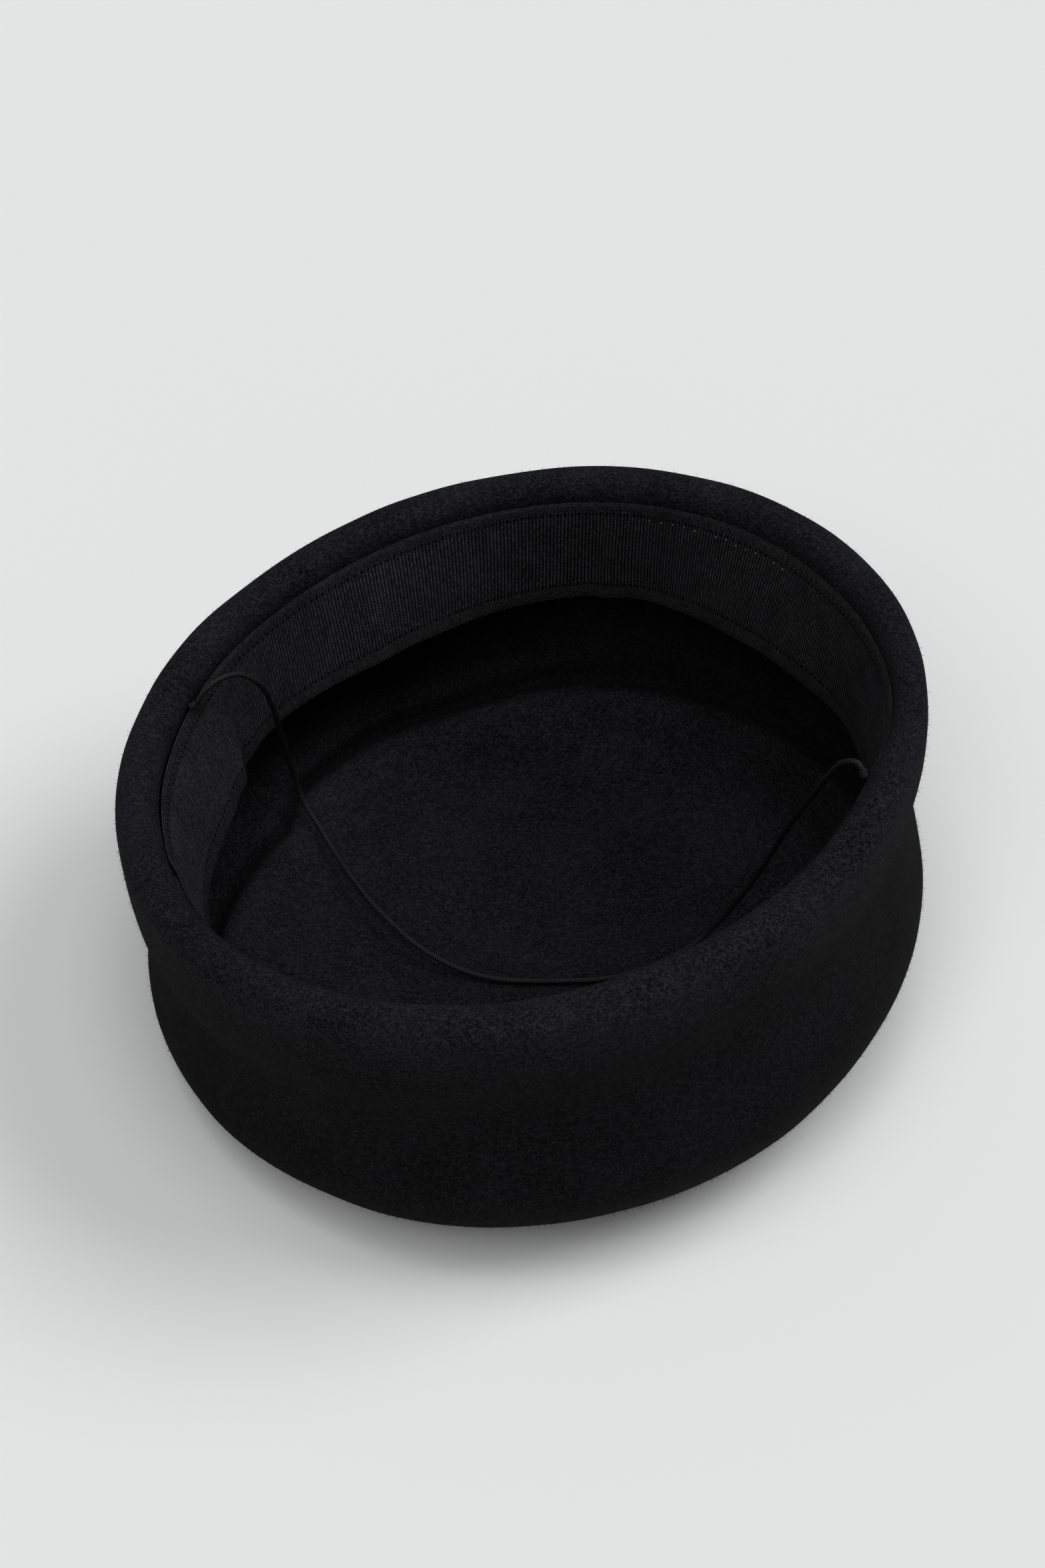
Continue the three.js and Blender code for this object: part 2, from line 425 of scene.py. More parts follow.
@dataclass(frozen=True)
class ThreadFinish:
    """Twisted sewing thread with a slight gloss, and painted highlight and shade along its plies."""

    name: str
    dark: Colour = (0.001, 0.0009, 0.0012)
    light: Colour = (0.02, 0.018, 0.021)
    turn: float = 0.0006
    roughness: float = 0.55
    specular: float = 0.2
    depth: float = 0.00006

    def material(self) -> bpy.types.Material:
        """Return the thread's material."""
        shader = Shader(self.name, self.roughness, self.specular)
        ply = shader.hump(shader.cycle(shader.math("ADD", *shader.weave_place()), self.turn))
        # painted highlight on the plies' crests, painted shade between them
        shader.colour(ply, self.dark, self.light)
        shader.bump((ply, self.depth))
        return shader.material


@dataclass(frozen=True)
class BraidFinish:
    """Fine braided cover of a round elastic, with painted highlights on the strand crests."""

    dark: Colour = (0.0005, 0.0005, 0.0006)
    light: Colour = (0.036, 0.035, 0.034)
    roughness: float = 0.42
    specular: float = 0.22
    strand: float = 0.00035
    painted_crest_light: tuple[float, float] = (0.4, 0.98)
    depth: float = 0.00012

    def material(self) -> bpy.types.Material:
        """Return the elastic's material."""
        shader = Shader("elastic", self.roughness, self.specular)
        along, around = shader.weave_place()
        slopes = (shader.scale(around, lay, along) for lay in (1.0, -1.0))
        strands = (shader.hump(shader.cycle(slope, self.strand * 2)) for slope in slopes)
        braid = shader.math("MULTIPLY", *strands)
        # painted highlights on the braid's crests, painted shade between them
        shader.colour(shader.smooth(braid, *self.painted_crest_light), self.dark, self.light)
        shader.bump((braid, self.depth))
        return shader.material


@dataclass(frozen=True)
class FloorFinish:
    """Plain pale surface that the hat lies on."""

    tone: Colour = (0.80, 0.81, 0.805)
    darkest: float = 0.99
    roughness: float = 0.9
    specular: float = 0.1
    grain: Blots = Blots(size=0.25, detail=2.0, seed=11.0)

    def material(self) -> bpy.types.Material:
        """Return the floor's material."""
        shader = Shader("pale_floor", self.roughness, self.specular)
        darker = tuple(self.darkest * value for value in self.tone)
        shader.colour(shader.noise(shader.object_place(), self.grain), darker, self.tone)
        return shader.material


def add_object(name: str, data: bpy.types.ID) -> bpy.types.Object:
    """Put data into the scene.

    Args:
        name: Name of the object.
        data: A mesh, light or camera.

    Returns:
        The object.
    """
    added = bpy.data.objects.new(name, data)
    bpy.context.scene.collection.objects.link(added)
    return added


def finished_mesh(name: str, bm: bmesh.types.BMesh) -> bpy.types.Mesh:
    """Turn what the operators have made into a mesh.

    Args:
        name: Name of the mesh.
        bm: What they have made, which is freed.

    Returns:
        The mesh.
    """
    mesh = bpy.data.meshes.new(name)
    bm.to_mesh(mesh)
    bm.free()
    return mesh


def new_object(name: str, mesh: bpy.types.Mesh, material: bpy.types.Material) -> bpy.types.Object:
    """Put a mesh into the scene as a smooth shaded piece.

    Args:
        name: Name of the piece.
        mesh: Its mesh.
        material: Its material.

    Returns:
        The piece.
    """
    piece = add_object(name, mesh)
    mesh.shade_smooth()
    mesh.materials.clear()
    mesh.materials.append(material)
    return piece


def attach(piece: bpy.types.Object, slot: Slot, *nodes: str) -> bpy.types.Object:
    """Let a finished piece ride on the hat.

    Args:
        piece: The piece.
        slot: Record slot that it takes its finish from; not used.
        nodes: CAD nodes that it stands for.

    Returns:
        The piece.
    """
    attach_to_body(piece, BODY)
    if nodes:
        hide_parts(*nodes)
    triangles = sum(len(face.vertices) - 2 for face in piece.data.polygons)
    log.info("%s: %d triangles", piece.name, triangles)
    return piece


def mapped_tube(
    name: str,
    steps: int,
    sides: int,
    place: Callable[[Array, Array], Array],
    weave: Callable[[Array, Array], Array],
) -> bpy.types.Mesh:
    """Roll a grid up into a tube with closed ends.

    Args:
        name: Name of the mesh.
        steps: Faces along the tube.
        sides: Faces around it.
        place: Points in metres for shares along and around the tube.
        weave: Map coordinates in metres for the same shares.

    Returns:
        The mesh.
    """
    bm = bmesh.new()
    bmesh.ops.create_grid(bm, x_segments=steps, y_segments=sides, size=0.5)
    shares = bm.loops.layers.uv.new(WEAVE_MAP)
    for face in bm.faces:
        for loop in face.loops:
            loop[shares].uv = (loop.vert.co.x + 0.5, loop.vert.co.y + 0.5)
    flat = np.array([vertex.co[:2] for vertex in bm.verts]) + 0.5
    for vertex, point in zip(bm.verts, place(flat[:, 0], flat[:, 1])):
        vertex.co = point
    bmesh.ops.remove_doubles(bm, verts=bm.verts, dist=SAME_POINT)
    open_edges = [edge for edge in bm.edges if edge.is_boundary]
    bmesh.ops.holes_fill(bm, edges=open_edges, sides=0)
    bmesh.ops.recalc_face_normals(bm, faces=bm.faces)
    mesh = finished_mesh(name, bm)
    layer = mesh.uv_layers[WEAVE_MAP].uv
    shares = np.empty(2 * len(layer), np.float32)
    layer.foreach_get("vector", shares)
    shares = shares.reshape(-1, 2)
    layer.foreach_set("vector", weave(shares[:, 0], shares[:, 1]).astype(np.float32).ravel())
    return mesh


def read_mesh(mesh: bpy.types.Mesh) -> tuple[Array, Array]:
    """Read a mesh.

    Args:
        mesh: The mesh.

    Returns:
        Its points and their normals.
    """
    points = np.empty(3 * len(mesh.vertices), np.float32)
    normals = np.empty_like(points)
    mesh.vertices.foreach_get("co", points)
    mesh.vertex_normals.foreach_get("vector", normals)
    return points.reshape(-1, 3).astype(float), normals.reshape(-1, 3).astype(float)


def lengths_along(points: Array) -> Array:
    """Measure a line of points.

    Args:
        points: Points in order.

    Returns:
        The length from the first point to each point.
    """
    return np.concatenate(([0.0], np.cumsum(np.linalg.norm(np.diff(points, axis=0), axis=1))))


def points_at(points: Array, wanted: Array) -> Array:
    """Return the points of a line that lie at lengths along it."""
    lengths = lengths_along(points)
    return np.stack([np.interp(wanted, lengths, points[:, axis]) for axis in range(3)], axis=1)


def even_points(points: Array, count: int) -> Array:
    """Return a number of points that are spaced evenly along a line."""
    return points_at(points, np.linspace(0.0, lengths_along(points)[-1], count))


def ease(value: Array, low: float, high: float) -> Array:
    """Return an eased step from 0 at low to 1 at high."""
    share = np.clip((value - low) / (high - low), 0.0, 1.0)
    return share * share * (3 - 2 * share)


def cubic(start: Array, end: Array, out: Array, back: Array, share: Array) -> Array:
    """Follow a cubic from one value to another.

    Args:
        start: Value at the share 0.
        end: Value at the share 1.
        out: Slope at the start.
        back: Slope at the end.
        share: Shares from 0 to 1.

    Returns:
        The values at the shares.
    """
    return (start + out * share + (3 * (end - start) - 2 * out - back) * share ** 2
            + (2 * (start - end) + out + back) * share ** 3)


def smooth_route(points: Array, steps: int) -> Array:
    """Run a centripetal curve through points.

    Args:
        points: The points.
        steps: Points of the curve between two of them.

    Returns:
        Points on the curve.
    """
    ends = (2 * points[:1] - points[1:2], 2 * points[-1:] - points[-2:-1])
    knots = np.concatenate((ends[0], points, ends[1]))
    gaps = np.sqrt(np.linalg.norm(np.diff(knots, axis=0), axis=1))
    share = np.linspace(0.0, 1.0, steps, endpoint=False)[:, None]
    curve = []
    for i in range(1, len(knots) - 2):
        before, start, end, after = knots[i - 1:i + 3]
        first, middle, last = gaps[i - 1:i + 2]
        out = ((start - before) / first - (end - before) / (first + middle)) * middle + end - start
        back = ((after - end) / last - (after - start) / (middle + last)) * middle + end - start
        curve.append(cubic(start, end, out, back, share))
    return np.concatenate((*curve, points[-1:]))


def round_cord(
    name: str,
    line: Array,
    radius: Callable[[Array, Array], Array],
    sides: int,
) -> bpy.types.Mesh:
    """Sweep a round section along a line.

    Args:
        name: Name of the mesh.
        line: Evenly spaced points of its middle.
        radius: Radius for the metres along it and the angle around it.
        sides: Faces around it.

    Returns:
        The mesh.
    """
    lengths = lengths_along(line)
    along = np.gradient(line, axis=0)
    along /= np.linalg.norm(along, axis=1)[:, None]
    side = np.empty_like(line)
    side[0] = np.cross(along[0], (0.0, 0.0, 1.0))
    for i in range(1, len(line)):
        side[i] = side[i - 1] - along[i] * np.dot(side[i - 1], along[i])
        side[i] /= np.linalg.norm(side[i])
    side[0] = side[1]
    up = np.cross(along, side)

    def place(share: Array, turn: Array) -> Array:
        """Return points on the cord's skin."""
        index = np.rint(share * (len(line) - 1)).astype(int)
        angle = 2 * math.pi * (turn % 1.0)
        reach = radius(lengths[index], angle)[:, None]
        out = np.cos(angle)[:, None] * side[index] + np.sin(angle)[:, None] * up[index]
        return line[index] + reach * out

    def weave(share: Array, turn: Array) -> Array:
        """Return metres along the cord and around its skin."""
        around = 2 * math.pi * float(np.mean(radius(lengths, 0 * lengths)))
        return np.stack((share * lengths[-1], turn * around), axis=1)

    return mapped_tube(name, len(line) - 1, sides, place, weave)


def thread_mesh(name: str, line: Array, thickness: float) -> bpy.types.Mesh:
    """Sweep a thread of one thickness along a line."""
    return round_cord(name, line, lambda _, angle: np.full_like(angle, thickness / 2), THREAD_SIDES)


@dataclass(frozen=True)
class RimOval:
    """The rim and its rolled hem, as upright cuts through the angles around the hat."""

    half_width: float = 0.092
    half_depth: float = 0.099
    height: float = 0.082
    slant: float = 0.195
    back_slant: float = -0.03
    shift: float = -0.015
    hem_width: float = 0.0104
    hem_pinch: float = 0.0027
    pinch_angle: float = -4.0
    pinch_spread: float = 17.0

    def hem_half(self, angle: Array) -> Array:
        """Return half the hem's width at angles in degrees."""
        away = (angle - self.pinch_angle + 180.0) % 360.0 - 180.0
        return (self.hem_width - self.hem_pinch * np.exp(-((away / self.pinch_spread) ** 2))) / 2

    def reach(self, angle: Array) -> Array:
        """Return the distance out to the rim's outside at angles in degrees."""
        turn = np.radians(angle)
        return np.hypot(self.half_width * np.cos(turn), self.half_depth * np.sin(turn))

    def inside(self, angle: Array) -> Array:
        """Return the distance out to the hem's inner side at angles in degrees."""
        return self.reach(angle) - 2 * self.hem_half(angle)

    def middle_height(self, angle: Array) -> Array:
        """Return the height of the hem's middle at angles in degrees."""
        turn = np.radians(angle)
        top = self.height * (1 + self.slant * np.cos(turn) + self.back_slant * np.sin(turn))
        return top - self.hem_half(angle)

    def place(self, out: Array, height: Array, angle: Array) -> Array:
        """Turn distances out and heights into points.

        Args:
            out: Distances out from the middle.
            height: Heights.
            angle: Angles in degrees from the right side, counted towards the back.

        Returns:
            Points in metres.
        """
        turn = np.radians(angle)
        reach = self.reach(angle)
        right = out * self.half_width * np.cos(turn) / reach + self.shift * self.half_width
        return np.stack((right, out * self.half_depth * np.sin(turn) / reach, height), axis=1)


@dataclass(frozen=True)
class Unevenness:
    """The slight waves of soft goods, which move what lies together by the same amount."""

    waves: tuple[tuple[float, float], ...] = ((0.042, 0.00055), (0.014, 0.00016))
    level_height: float = 0.006
    seed: int = 3

    def move(self, points: Array) -> Array:
        """Move points a little, and leave the part that the hat lies on level.

        Args:
            points: Points in metres.

        Returns:
            The moved points.
        """
        noise.seed_set(self.seed)
        moves = np.zeros_like(points)
        for size, depth in self.waves:
            moves += depth * np.array([noise.noise_vector(Vector(point)) for point in points / size])
        freedom = np.clip(points[:, 2] / self.level_height - 0.5, 0.0, 1.0)
        return points + freedom[:, None] * moves


@dataclass
class FeltCrown:
    """The moulded felt: the CAD node's own shape, smoothed, with a crease at the tip, slight waves, and
    painted light and shade on its points.

    A row of the crease is an angle in degrees, its share of the way out to the rim and the metres that the
    shoulder inside it rises.
    """

    rim: RimOval
    unevenness: Unevenness
    node: str = "felt_crown"
    finish: FeltFinish = field(default_factory=FeltFinish)
    weld: float = 1e-5
    join_slope: float = 60.0
    join_skew: float = 80.0
    rounding: int = 2
    tip_shift: float = 0.05
    tip_tilt: float = 0.1
    crease: tuple[tuple[float, float, float], ...] = (
        (0, 0.913, 0.0008), (90, 0.911, 0.0009), (106, 0.893, 0.0006), (122, 0.896, 0.0003),
        (138, 0.885, 0.0001), (146, 0.832, 0.0003), (162, 0.85, 0.0014), (180, 0.866, 0.002),
        (215, 0.875, 0.0016), (270, 0.891, 0.001),
    )
    crease_depth: float = 0.0022
    crease_width: float = 0.0015
    crease_top: float = 0.028
    fine_run: float = 0.0045
    shoulder_width: float = 0.0045
    shoulder_run: float = 0.005
    # painted light and shade: width and darkness of the crease's painted shade, the painted light on the hem,
    # the tip and the crease's shoulder, and the tilt over which the tip's painted light fades in
    painted_shade_width: float = 0.002
    painted_crease_shade: float = 0.42
    painted_hem_light_depth: float = 0.018
    painted_tip_light: float = 0.6
    painted_shoulder_light: float = 0.35
    painted_light_tilt: tuple[float, float] = (0.3, 0.8)

    def build(self) -> bpy.types.Object:
        """Model the felt.

        Returns:
            The piece, with its material.
        """
        bm = bmesh.new()
        bm.from_mesh(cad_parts[self.node].data)
        bmesh.ops.remove_doubles(bm, verts=bm.verts, dist=self.weld)
        bmesh.ops.join_triangles(bm, faces=bm.faces, angle_face_threshold=math.radians(self.join_slope),
                                 angle_shape_threshold=math.radians(self.join_skew))
        piece = new_object("hat_felt", finished_mesh("hat_felt", bm), self.finish.material())
        round_form = piece.modifiers.new("round_form", "SUBSURF")
        round_form.levels = self.rounding
        round_form.render_levels = self.rounding
        bpy.context.view_layer.update()
        rounded = piece.evaluated_get(bpy.context.evaluated_depsgraph_get())
        smooth_mesh = bpy.data.meshes.new_from_object(rounded)
        piece.modifiers.clear()
        piece.data = smooth_mesh
        self.refine(smooth_mesh)
        points = self.unevenness.move(self.press(*read_mesh(smooth_mesh)))
        smooth_mesh.vertices.foreach_set("co", points.astype(np.float32).ravel())
        smooth_mesh.update()
        # paint light and shade into the felt's tone: lighter hem, tip tops and crease shoulder, darker crease
        self.paint_light_and_shade(smooth_mesh)
        smooth_mesh.shade_smooth()
        return piece

    def near_crease(self, points: Array) -> tuple[Array, Array, Array]:
        """Tell how close points are to the crease between the tip and the wall.

        Args:
            points: Points in metres.

        Returns:
            Their metres outside the crease, how far they are on its shoulder from 0 to 1, and the metres that
            the shoulder rises.
        """
        angles, shares, rises = zip(*self.crease)
        right = points[:, 0] / self.rim.half_width - self.tip_shift
        back = points[:, 1] / self.rim.half_depth
        angle = np.degrees(np.arctan2(back, right)) % 360.0
        away = (np.hypot(right, back) - np.interp(angle, angles, shares, period=360.0)) * self.rim.half_width
        shoulder = np.exp(-(((away + self.shoulder_run) / self.shoulder_width) ** 2))
        return away, shoulder, np.interp(angle, angles, rises, period=360.0)

    def over_hem(self, points: Array) -> Array:
        """Return how high points lie on the hem, from 0 below the waist to 1 at the hem's top."""
        angle = np.degrees(np.arctan2(points[:, 1], points[:, 0]))
        hem_top = self.rim.middle_height(angle) + self.rim.hem_width / 2
        return (points[:, 2] - hem_top) / self.painted_hem_light_depth + 1.0

    def on_tip(self, points: Array, normals: Array) -> Array:
        """Tell which points lie on the inside of the tip or at the foot of the wall."""
        return (normals[:, 2] > self.tip_tilt) & (points[:, 2] < self.crease_top)

    def refine(self, mesh: bpy.types.Mesh) -> None:
        """Cut the mesh finer along the crease.

        Args:
            mesh: The felt's mesh.
        """
        points, normals = read_mesh(mesh)
        away, _, _ = self.near_crease(points)
        close = (np.abs(away) < self.fine_run) & self.on_tip(points, normals)
        bm = bmesh.new()
        bm.from_mesh(mesh)
        edges = [edge for edge in bm.edges if close[edge.verts[0].index] and close[edge.verts[1].index]]
        bmesh.ops.subdivide_edges(bm, edges=edges, cuts=1, use_grid_fill=True)
        bm.to_mesh(mesh)
        bm.free()

    def press(self, points: Array, normals: Array) -> Array:
        """Press the crease into the inside, where the tip's plate meets the wall.

        Args:
            points: The felt's points.
            normals: Its normals.

        Returns:
            The points with the crease.
        """
        away, shoulder, rise = self.near_crease(points)
        groove = np.exp(-((away / self.crease_width) ** 2))
        move = np.where(self.on_tip(points, normals), rise * shoulder - self.crease_depth * groove, 0.0)
        return points + move[:, None] * normals

    def paint_light_and_shade(self, mesh: bpy.types.Mesh) -> None:
        """Paint light and shade into the felt's tone: lighter over the hem, on the tip's upward faces and on
        the crease's shoulder, darker in the crease.

        Args:
            mesh: The felt's mesh.
        """
        points, normals = read_mesh(mesh)
        away, shoulder, _ = self.near_crease(points)
        groove = np.exp(-((away / self.painted_shade_width) ** 2))
        tone = (self.painted_tip_light + self.painted_shoulder_light * shoulder) * (1 - groove)
        steep, level = self.painted_light_tilt
        # painted light: upward tip faces and the hem's top lighter; painted shade: the crease darker
        tip = tone * np.clip((normals[:, 2] - steep) / (level - steep), 0.0, 1.0) - self.painted_crease_shade * groove
        share = np.where(self.on_tip(points, normals), tip, np.clip(self.over_hem(points), 0.0, 1.0))
        marks = mesh.attributes.new(PAINTED_LIGHT, "FLOAT", "POINT")
        marks.data.foreach_set("value", share.astype(np.float32))

    def dress(self) -> bpy.types.Object:
        """Build the felt and let it ride."""
        return attach(self.build(), Slot.FELT, self.node)


@dataclass
class FeltNap:
    """Short loose fibres that stand up from the felt."""

    felt: bpy.types.Object
    rows: int = 300
    columns: int = 250
    length: float = 0.0007
    length_range: tuple[float, float] = (0.4, 1.5)
    width: float = 0.00006
    tip_width: float = 0.4
    lean: float = 0.8
    floor_gap: float = 0.0002
    seed: int = 7
    finish: NapFinish = field(default_factory=NapFinish)

    def roots(self, count: int) -> tuple[Array, Array]:
        """Spread places evenly over the felt.

        Args:
            count: How many places are wanted.

        Returns:
            The places and the felt's normals there.
        """
        mesh = self.felt.data
        points, normals = read_mesh(mesh)
        mesh.calc_loop_triangles()
        corners = np.empty(3 * len(mesh.loop_triangles), np.int32)
        mesh.loop_triangles.foreach_get("vertices", corners)
        corners = corners.reshape(-1, 3)
        first, second, third = (points[corners[:, i]] for i in range(3))
        areas = np.linalg.norm(np.cross(second - first, third - first), axis=1)
        chance = np.random.default_rng(self.seed)
        picked = corners[chance.choice(len(areas), count, p=areas / areas.sum())]
        shares = chance.dirichlet((1.0, 1.0, 1.0), count)[:, :, None]
        return (points[picked] * shares).sum(axis=1), (normals[picked] * shares).sum(axis=1)

    def build(self) -> bpy.types.Object:
        """Model the fibres from a grid that is split into single blades.

        Returns:
            The piece, with its material.
        """
        bm = bmesh.new()
        bmesh.ops.create_grid(bm, x_segments=self.rows, y_segments=self.columns, size=0.5)
        bmesh.ops.split_edges(bm, edges=bm.edges)
        mesh = finished_mesh("hat_nap", bm)
        count = len(mesh.polygons)
        roots, normals = self.roots(count)
        chance = np.random.default_rng(self.seed + 1)
        along = normals + self.lean * chance.normal(size=(count, 3))
        along *= np.where((along * normals).sum(axis=1) < 0, -1.0, 1.0)[:, None]
        along /= np.linalg.norm(along, axis=1)[:, None]
        tips = roots + along * (self.length * chance.uniform(*self.length_range, count))[:, None]
        side = np.cross(along, chance.normal(size=(count, 3)))
        side *= self.width / 2 / np.linalg.norm(side, axis=1)[:, None]
        end = self.tip_width * side
        blades = np.stack((roots - side, roots + side, tips + end, tips - end), axis=1)
        blades[:, :, 2] = np.maximum(blades[:, :, 2], self.floor_gap)
        corners = np.empty(4 * count, np.int32)
        mesh.loops.foreach_get("vertex_index", corners)
        points = np.empty((len(mesh.vertices), 3), np.float32)
        points[corners] = blades.reshape(-1, 3)
        mesh.vertices.foreach_set("co", points.ravel())
        mesh.update()
        return new_object("hat_nap", mesh, self.finish.material())

    def dress(self) -> bpy.types.Object:
        """Build the fibres and let them ride."""
        return attach(self.build(), Slot.FELT)


@dataclass(frozen=True)
class Buckle:
    """A soft upright fold in the sweatband, with its place, spread and swing in degrees."""

    angle: float
    spread: float
    depth: float
    swing: float


@dataclass
class Sweatband:
    """The ribbed ribbon inside the hem, with lapped ends on the left.

    A row of the leans is an angle in degrees, and how far the lower edge leans in as a share of the width.
    """

    rim: RimOval
    unevenness: Unevenness
    width: float = 0.027
    thickness: float = 0.0009
    drop: float = 0.0008
    lap: float = 0.014
    lap_run: tuple[float, float] = (0.6, 0.02)
    join_angle: float = 200.0
    clearance: float = 0.00004
    pitch: float = 0.00088
    rib_depth: float = 0.0001
    edge_rib: float = 0.25
    bulge: float = 0.0004
    fold_run: float = 0.6
    across_steps: int = 20
    edge_steps: int = 4
    steps_per_rib: int = 4
    measure_steps: int = 4000
    finish: KnitFinish = field(default_factory=KnitFinish)
    leans: tuple[tuple[float, float], ...] = (
        (0, 0.13), (15, 0.14), (30, 0.26), (45, 0.27), (60, 0.18), (68, 0.1), (80, 0.12), (92, 0.2),
        (105, 0.33), (120, 0.35), (136, 0.23), (146, 0.23), (156, 0.34), (166, 0.42), (180, 0.36),
        (195, 0.28), (215, 0.2), (240, 0.14), (270, 0.1), (300, 0.06), (330, 0.04),
    )
    buckles: tuple[Buckle, ...] = (
        Buckle(71.0, 3.0, 0.0006, 2.5),
        Buckle(75.5, 1.8, -0.0005, 2.0),
        Buckle(149.0, 1.8, -0.001, 3.0),
        Buckle(153.5, 2.2, 0.0008, 3.0),
        Buckle(120.0, 4.0, 0.0005, -2.0),
        Buckle(35.0, 3.0, -0.0004, 3.0),
    )

    def lean(self, angle: Array) -> Array:
        """Return how far the lower edge leans in, as a share of the width, at angles in degrees."""
        angles = np.array([row[0] for row in self.leans])
        shares = np.array([row[1] for row in self.leans])
        turned = np.asarray(angle) % 360.0
        row = np.searchsorted(angles, turned, side="right") - 1
        rows = len(angles)
        after = np.where(row + 1 < rows, angles[(row + 1) % rows], 360.0 + angles[0])
        run = (turned - angles[row]) / (after - angles[row])
        before, start, end, later = (shares[(row + step) % rows] for step in (-1, 0, 1, 2))
        out, back = (end - before) / 2, (later - start) / 2
        return cubic(start, end, out, back, run)

    def lap_degrees(self) -> float:
        """Return the lap of the ends in degrees around the hat."""
        return math.degrees(self.lap / self.rim.half_width)

    def surface(self, run: Array, across: Array, depth: Array) -> Array:
        """Find points of the band.

        Args:
            run: Degrees from the join.
            across: Metres up from the lower edge.
            depth: Metres behind the face that shows.

        Returns:
            Points in metres.
        """
        angle = self.join_angle + run
        lap = self.lap_degrees()
        inset_start, inset_end = (360.0 - share * lap for share in self.lap_run)
        inset = (self.thickness + self.clearance / 2) * ease(run, inset_start, inset_end)
        lean = self.lean(angle)
        down = self.width - across
        swell = self.bulge * np.sin(math.pi * np.clip(across / self.width, 0.0, 1.0))
        hang = np.clip(down / self.width, 0.0, 1.0)
        for buckle in self.buckles:
            away = ((angle - buckle.angle - buckle.swing * hang + 180.0) % 360.0 - 180.0) / buckle.spread
            swell = swell + buckle.depth * np.exp(-away ** 2) * ease(hang, 0.0, self.fold_run)
        out = self.rim.inside(angle) - self.clearance - self.thickness - inset - lean * down - swell + depth
        height = self.rim.middle_height(angle) - self.drop - np.sqrt(1 - lean ** 2) * down
        return self.unevenness.move(self.rim.place(out, height, angle))

    def runs(self, count: int) -> tuple[Array, float]:
        """Space places evenly along the band.

        Args:
            count: How many places are wanted.

        Returns:
            Degrees from the join, and the band's length in metres.
        """
        run = np.linspace(0.0, 360.0 + self.lap_degrees(), self.measure_steps)
        middle = self.surface(run, np.full_like(run, self.width / 2), np.zeros_like(run))
        lengths = lengths_along(middle)
        return np.interp(np.linspace(0.0, lengths[-1], count), lengths, run), lengths[-1]

    def outline(self) -> tuple[Array, Array]:
        """Draw the band's cross-section, from the lower edge up the face and down the back.

        Returns:
            Metres up from the lower edge, and metres behind the face.
        """
        half = self.thickness / 2
        turn = np.linspace(0.0, math.pi, self.edge_steps + 1)
        rise = np.linspace(half, self.width - half, self.across_steps + 1)
        over = (self.width - half + half * np.sin(turn), half - half * np.cos(turn))
        under = (half - half * np.sin(turn), half + half * np.cos(turn))
        across = np.concatenate((rise, over[0][1:], under[0]))
        depth = np.concatenate((0 * rise, over[1][1:], under[1]))
        return across, depth

    def build(self) -> bpy.types.Object:
        """Model the band.

        Returns:
            The piece, with its material.
        """
        ribs = round(self.runs(2)[1] / self.pitch)
        steps = ribs * self.steps_per_rib
        runs, length = self.runs(steps + 1)
        across, depth = self.outline()
        sides = len(across) - 1
        selvage = self.finish.lower_edge

        def place(share: Array, turn: Array) -> Array:
            """Return points of the band's skin."""
            column = np.rint(share * steps).astype(int)
            row = np.rint(turn * sides).astype(int)
            row = np.where(row == sides, 0, row)
            up = across[row]
            plain = ease(up, selvage / 2, selvage) * (1 - ease(up, self.width - selvage, self.width))
            rib = self.rib_depth * (self.edge_rib + (1 - self.edge_rib) * plain)
            wave = np.where(depth[row] == 0, np.cos(2 * math.pi * column / self.steps_per_rib), 0.0)
            return self.surface(runs[column], up, depth[row] + rib * wave)

        def weave(share: Array, turn: Array) -> Array:
            """Return metres along and across the band."""
            return np.stack((share * length, np.interp(turn * sides, np.arange(sides + 1), across)), axis=1)

        mesh = mapped_tube("hat_sweatband", steps, sides, place, weave)
        return new_object("hat_sweatband", mesh, self.finish.material())

    def dress(self) -> bpy.types.Object:
        """Build the band and let it ride."""
        return attach(self.build(), Slot.RIBBON, "sweatband")


